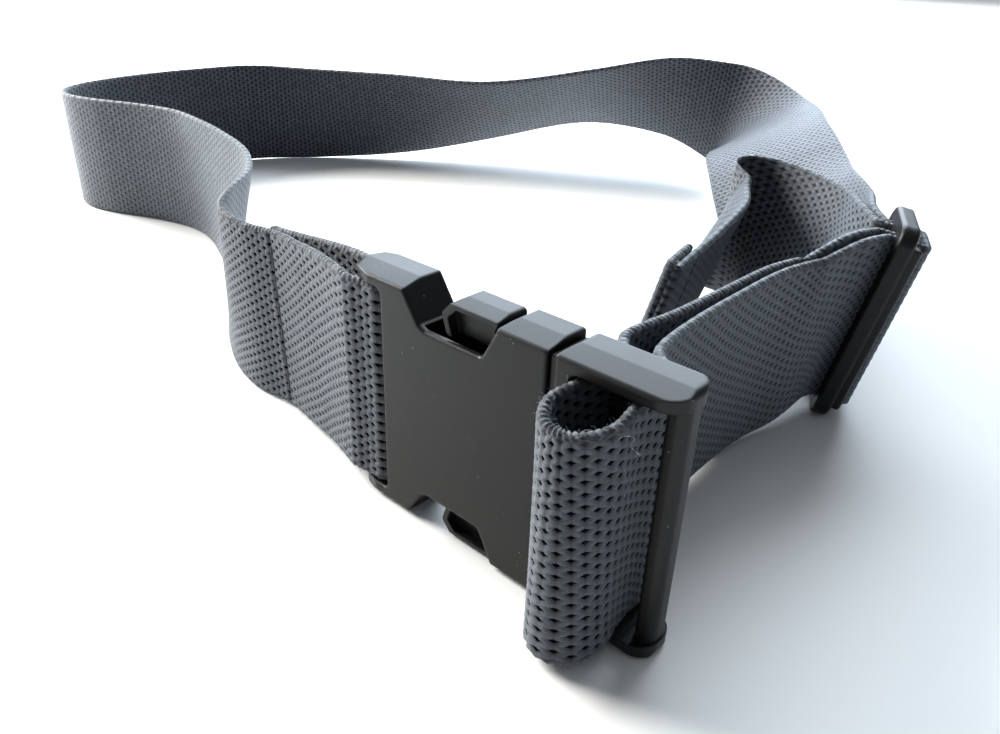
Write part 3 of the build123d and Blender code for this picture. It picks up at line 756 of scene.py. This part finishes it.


# pieces that cross a joint: two bodies, and where each lets go; makeStretch reads none of this and only bakes
# such a piece in place
onBuckle = ("plug", "belt", (10, 15, 27), (10, 76, 27))
onGlide = ("belt", "tri_glide", (4, 80, 27), (9, 102, 27))
offGlide = ("tri_glide", "belt", (-2, 141, 28), (-38, 183, 30))
offGlideTail = ("tri_glide", "belt", (-4, 140, 28), (-27, 153, 28))
meshRelief = {"near": 1.0, "middle": 0.6, "far": 0.0, "change": 20.0}
near, middle, far = (meshRelief[k] for k in ("near", "middle", "far"))
stretches = [
    # name, first and last mark, mesh step, relief, what it rides or its blend, nodes it stands for
    (
        "webbing_socket_end", None, "nearRun", fine, near, "belt",
        ("socket_wrap", "sewn_outer_layer", "sewn_inner_layer"),
    ),
    ("webbing_near_run", "nearRun", "loop", fine, "fading", "belt", ("left_run",)),
    (
        "webbing_loop", "loop", "exit", coarse, far, "belt",
        ("left_turn", "far_run", "lifted_corner", "side_run"),
    ),
    ("webbing_glide_exit", "exit", "outerWrap", middling, "rising", offGlide, ("side_run_end",)),
    ("webbing_outer_wrap", "outerWrap", "outerEnd", middling, middle, "tri_glide", ("glide_wrap_outer",)),
    ("webbing_outer_strap_end", "outerEnd", "outer", middling, middle, onGlide, ("outer_strap",)),
    ("webbing_outer_strap", "outer", "roll", middling, middle, onBuckle, ("outer_strap",)),
    ("webbing_roll", "roll", "inner", fine, near, "plug", ("adjuster_roll",)),
    ("webbing_inner_strap", "inner", "innerEnd", middling, middle, onBuckle, ("inner_strap",)),
    ("webbing_inner_strap_end", "innerEnd", "innerWrap", middling, middle, onGlide, ("inner_strap",)),
    ("webbing_inner_wrap", "innerWrap", "tailStart", middling, middle, "tri_glide", ("glide_wrap_inner",)),
    ("webbing_tail_start", "tailStart", "tail", middling, middle, offGlideTail, ("tail_start",)),
    ("webbing_tail", "tail", None, middling, middle, "belt", ("tail_run", "tail_end", "tail_hem")),
]


def makeStretch(name, first, last, grid, relief, bodies, stands):
    start = marks[first] if first else 0.0
    stop = marks[last] if last else strapAt[-1]
    i, j = (int(np.searchsorted(strapAt, place)) for place in (start, stop))
    j = min(j, len(strap) - 1)
    length, change = strapAt[j] - strapAt[i], meshRelief["change"]
    if relief == "fading":
        relief = lambda at: np.clip((length - at) / change, 0, 1)
    if relief == "rising":
        relief = lambda at: np.clip(at / change, 0, 1) * meshRelief["middle"]
    piece = webbingPiece(
        name, (i, j), grid["along"], grid["across"], relief,
        pinch=[(place - strapAt[i], depth, width) for place, depth, width in seams],
        ends=(first is None, last is None),
    )
    if isinstance(bodies, str):
        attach(piece, bodies)
    else:
        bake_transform(piece)
    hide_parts(*stands)


strapFrames = frames(strap)
for row in stretches:
    makeStretch(*row)
print("webbing made")


# sewing and loose fibres

stitch = {
    "length": 3.0, "pitch": 3.9, "radius": 0.26, "margin": 2.2,
    "sink": 0.22,  # how far its ends dip in
    "depth": 0.38,  # how far the seam draws the face in
    "slant": 0.12,
    "points": 9,
}


taper = {"end": 0.55, "growth": 1.8}


def tubes(name, paths, radius, material, sides=6):
    # round threads along lists of points in mm, tapering to their ends
    verts, faces = [], []
    for path in paths:
        path = np.array(path, float)
        path[:, 2] = np.maximum(path[:, 2], radius)  # none reaches into the table
        ahead = np.gradient(path, axis=0)
        ahead /= np.linalg.norm(ahead, axis=1)[:, None] + 1e-9
        side = np.cross(ahead, (0.31, 0.52, 0.79))
        side /= np.linalg.norm(side, axis=1)[:, None] + 1e-9
        other = np.cross(ahead, side)
        first = len(verts)
        count = len(path)
        for i in range(count):
            r = radius * min(1, taper["end"] + taper["growth"] * min(i, count - 1 - i) / count)
            for k in range(sides):
                a = 2 * math.pi * k / sides
                verts.append((path[i] + r * (math.cos(a) * side[i] + math.sin(a) * other[i]) + shift) * mm)
        for i in range(count - 1):
            for k in range(sides):
                n = (k + 1) % sides
                a, b = first + i * sides, first + (i + 1) * sides
                faces.append((a + k, a + n, b + n, b + k))
        faces.append(tuple(first + k for k in range(sides))[::-1])
        faces.append(tuple(first + (count - 1) * sides + k for k in range(sides)))
    mesh = bpy.data.meshes.new(name)
    mesh.from_pydata([tuple(map(float, v)) for v in verts], [], faces)
    mesh.materials.append(material)
    mesh.update()
    mesh.shade_smooth()
    piece = bpy.data.objects.new(name, mesh)
    bpy.context.collection.objects.link(piece)
    return piece


def stitchPaths(place):
    # a row of stitches across the strap, on the face that shows
    middle, along, across, out, at = strapFrames
    i = int(np.searchsorted(at, place))
    surface = webbing["halfBody"] + webbing["relief"] - stitch["depth"]
    count = int((webbing["width"] - 2 * stitch["margin"]) / stitch["pitch"])
    gap = stitch["pitch"] - stitch["length"]
    paths = []
    for k in range(count):
        start = (k - count / 2) * stitch["pitch"] + gap / 2
        path = []
        for s in np.linspace(0, 1, stitch["points"]):
            lift = stitch["sink"] * (1 - 2 * (2 * s - 1) ** 4)
            point = middle[i] + across[i] * (start + s * stitch["length"]) - out[i] * (surface + lift)
            path.append(point + along[i] * stitch["slant"] * (2 * s - 1))
        paths.append(path)
    return paths


def makeSeam(name, places, node):
    paths = [path for place in places for path in stitchPaths(place)]
    threads = tubes(name, paths, stitch["radius"], threadLook)
    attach(threads, "belt")
    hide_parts(node)


makeSeam("sewn_threads", (outerSeam, returnedSeam), "sewn_stitching")
makeSeam("hem_threads", hemSeams, "hem_stitching")

fuzz = {
    "radius": 0.026, "seed": 7, "band": 1.2, "root": 1.0, "inset": 0.3,
    "roll": {"count": 300, "atEdge": 0.4, "length": 0.9, "margin": 6},
    "belt": {"count": 260, "atEdge": 0.6, "length": 0.8},
    "end": {"count": 40, "atEdge": 0.3, "span": 1.0},
    "tail": {"count": 240, "atEdge": 0.6, "length": 1.1, "span": 40},
}
dice = np.random.default_rng(fuzz["seed"])


def hairs(spots, length):
    # short fibres standing off the webbing: spots are (place along, place across, side)
    middle, along, across, out, at = strapFrames
    paths = []
    for place, t, side in spots:
        i = min(int(np.searchsorted(at, place)), len(at) - 1)
        atEdge = abs(t) > webbing["width"] / 2 - fuzz["band"]
        root = middle[i] + across[i] * t + out[i] * side * fuzz["root"]
        away = out[i] * side * dice.uniform(0.2, 1)
        away = away + across[i] * (np.sign(t) if atEdge else 0) * dice.uniform(0.2, 1)
        bend = along[i] * dice.uniform(-1, 1) + across[i] * dice.uniform(-0.6, 0.6)
        size = length * dice.uniform(0.4, 1.2)
        paths.append([root + size * (away * s + bend * s * s) for s in np.linspace(0, 1, 5)])
    return paths


def scatter(count, first, last, edges):
    # random spots between two places along the strap, a share of them on its edges
    half = webbing["width"] / 2
    spots = []
    for _ in range(count):
        place = dice.uniform(first, last)
        if dice.random() < edges:
            across = dice.choice([-1, 1]) * (half - fuzz["inset"])
        else:
            across = dice.uniform(-half, half)
        spots.append((place, across, dice.choice([-1, 1])))
    return spots


def makeFuzz(name, paths, body):
    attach(tubes(name, paths, fuzz["radius"], fibreLook, 3), body)


# longer fibres that hang loose by the roll
looseFibres = [
    [(18.5, -9, 50.6), (19.6, -10, 52.6), (18.2, -11.5, 53.6), (16.6, -11.6, 52.4), (16.9, -11.3, 50.8)],
    [
        (20.6, -7, 51), (22.4, -7.5, 52.6), (23.4, -6.8, 52.2), (22.6, -6.6, 50.6), (24.4, -7.2, 50.2),
        (25.4, -7.9, 50.9),
    ],
    [(20.9, -6.2, 47), (22.3, -6.6, 45.2), (22.9, -6.4, 42.4), (22.6, -6.6, 40.0)],
]
looseFibres = [smoothLine([(*point, *point) for point in path], 0.3)[:, :3] for path in looseFibres]
onRoll, onBelt, onEnd, onTail = (fuzz[k] for k in ("roll", "belt", "end", "tail"))
rollSpots = scatter(
    onRoll["count"], marks["roll"] + onRoll["margin"], marks["inner"] - onRoll["margin"], onRoll["atEdge"]
)
makeFuzz("webbing_fuzz_roll", hairs(rollSpots, onRoll["length"]) + looseFibres, "plug")
beltSpots = scatter(onBelt["count"], 0, marks["loop"], onBelt["atEdge"])
beltSpots += scatter(onEnd["count"], 0, onEnd["span"], onEnd["atEdge"])
tailSpots = scatter(onTail["count"], tailEnd - onTail["span"], strapAt[-1], onTail["atEdge"])
makeFuzz("webbing_fuzz_belt", hairs(beltSpots, onBelt["length"]) + hairs(tailSpots, onTail["length"]), "belt")
print("sewing and fibres made")

for name in ("socket", "plug_frame", "upper_prong", "lower_prong", "tri_glide"):
    node = nodes[name]
    node.data.materials.clear()
    node.data.materials.append(plasticLook)


# floor, light and camera

studio = {
    "floor": {"colour": (0.88, 0.875, 0.86), "roughness": 0.6, "half": 60.0, "height": -0.0001},
    "sky": (0.86, 0.93, 1.0),
    "skyStrength": 0.25,
    "aim": (-0.1, 0.08, 0),
    "overhead": {"strength": 0.6, "spread": 50, "lean": (-25, -20)},
    "key": {"at": (-1.4, -0.22, 0.75), "size": 0.8, "power": 64, "colour": (1.0, 0.99, 0.96)},
    "back": {"at": (-0.85, 1.25, 0.95), "size": 1.9, "power": 60, "colour": (0.76, 0.88, 1.0)},
}


def makeFloor(setting):
    mesh = bpy.data.meshes.new("floor")
    r = setting["half"]
    mesh.from_pydata([(-r, -r, 0), (r, -r, 0), (r, r, 0), (-r, r, 0)], [], [(0, 1, 2, 3)])
    made, tree, shader = emptyMaterial("pale_floor")
    shader.inputs["Base Color"].default_value = (*setting["colour"], 1)
    shader.inputs["Roughness"].default_value = setting["roughness"]
    mesh.materials.append(made)
    floor = bpy.data.objects.new("floor", mesh)
    floor.location.z = setting["height"]
    bpy.context.collection.objects.link(floor)


def makeLight(name, setting):
    lamp = bpy.data.lights.new(name, "AREA")
    lamp.shape = "DISK"
    lamp.size = setting["size"]
    lamp.energy = setting["power"]
    lamp.color = setting["colour"]
    made = bpy.data.objects.new(name, lamp)
    made.location = setting["at"]
    made.rotation_mode = "QUATERNION"
    made.rotation_quaternion = (Vector(studio["aim"]) - made.location).to_track_quat("-Z", "Y")
    bpy.context.collection.objects.link(made)


def makeOverhead(setting):
    # an even light from above, which also reaches the far floor
    lamp = bpy.data.lights.new("overhead", "SUN")
    lamp.energy = setting["strength"]
    lamp.angle = math.radians(setting["spread"])
    made = bpy.data.objects.new("overhead", lamp)
    made.rotation_euler = [math.radians(turn) for turn in (*setting["lean"], 0)]
    bpy.context.collection.objects.link(made)


# fitted to the photo: place in mm, turns in degrees
camera = {
    "at": (78.16, -99.66, 120.44),
    "yaw": -41.75, "down": 28.17, "roll": 2.06,
    "lens": 29.63, "sensor": 36, "clip": (0.01, 200),
}


def makeCamera():
    yaw, down, roll = (math.radians(camera[k]) for k in ("yaw", "down", "roll"))
    ahead = Vector((math.sin(yaw), math.cos(yaw), 0))
    right = Vector((math.cos(yaw), -math.sin(yaw), 0))
    forward = ahead * math.cos(down) - Vector((0, 0, math.sin(down)))
    up = ahead * math.sin(down) + Vector((0, 0, math.cos(down)))
    x = right * math.cos(roll) + up * math.sin(roll)
    y = up * math.cos(roll) - right * math.sin(roll)
    data = bpy.data.cameras.new("camera")
    data.sensor_width, data.lens = camera["sensor"], camera["lens"]
    data.clip_start, data.clip_end = camera["clip"]
    made = bpy.data.objects.new("camera", data)
    made.matrix_world = Matrix((
        (x.x, y.x, -forward.x, (camera["at"][0] + shift[0]) * mm),
        (x.y, y.y, -forward.y, (camera["at"][1] + shift[1]) * mm),
        (x.z, y.z, -forward.z, camera["at"][2] * mm),
        (0, 0, 0, 1),
    ))
    bpy.context.collection.objects.link(made)
    bpy.context.scene.camera = made


makeFloor(studio["floor"])
makeLight("key", studio["key"])
makeLight("back", studio["back"])
makeOverhead(studio["overhead"])
world = bpy.data.worlds.new("studio")
world.use_nodes = True
sky = world.node_tree.nodes["Background"].inputs
sky["Color"].default_value = (*studio["sky"], 1)
sky["Strength"].default_value = studio["skyStrength"]
bpy.context.scene.world = world
makeCamera()
bpy.context.scene.view_settings.view_transform = "Standard"
print("stage made")
